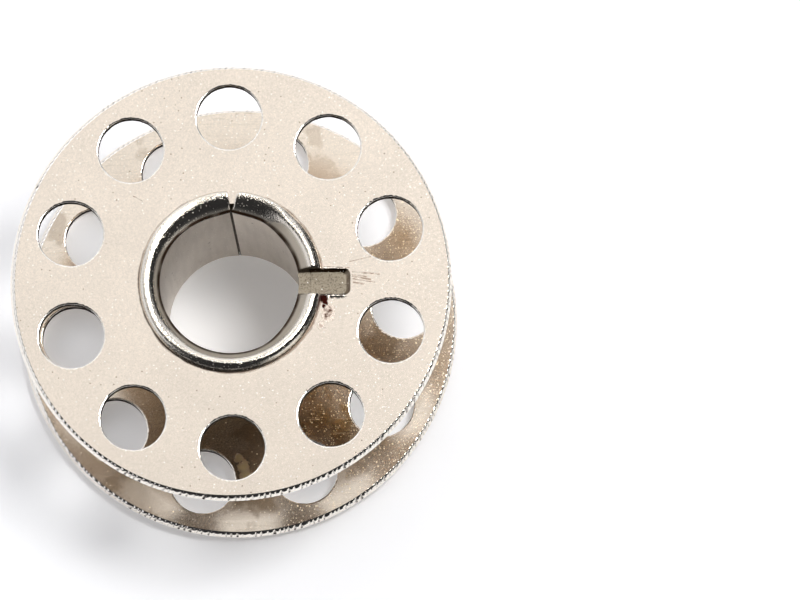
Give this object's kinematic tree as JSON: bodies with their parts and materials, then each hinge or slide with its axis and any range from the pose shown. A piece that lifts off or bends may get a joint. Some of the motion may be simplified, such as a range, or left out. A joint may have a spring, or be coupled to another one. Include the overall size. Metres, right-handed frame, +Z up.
{
  "type": "sewing machine bobbin",
  "caption": "Flanged steel thread bobbin: pierced discs with knurled rims clinched on a seamed tubular core with rolled lips, a spindle bore and a drive notch.",
  "frame": {"origin": "on the spindle axis, in the plane of the lower lip's crest that the bobbin stands on", "axes": "+Z up along the spindle axis, +X through the drive notch of the upper flange, +Y through the butt seam of the core"},
  "size_m": [0.0205, 0.0204, 0.0115],
  "materials": {
    "flange_nickel": "satin barrel-polished nickel plate on stamped steel, warm, with specks and fine scratches",
    "core_nickel": "bright nickel plate on rolled steel, worn at the seam and stained at the lip"
  },
  "bodies": {
    "root": {"upper_flange": "flange_nickel", "lower_flange": "flange_nickel", "core_tube": "core_nickel"}
  },
  "joints": []
}
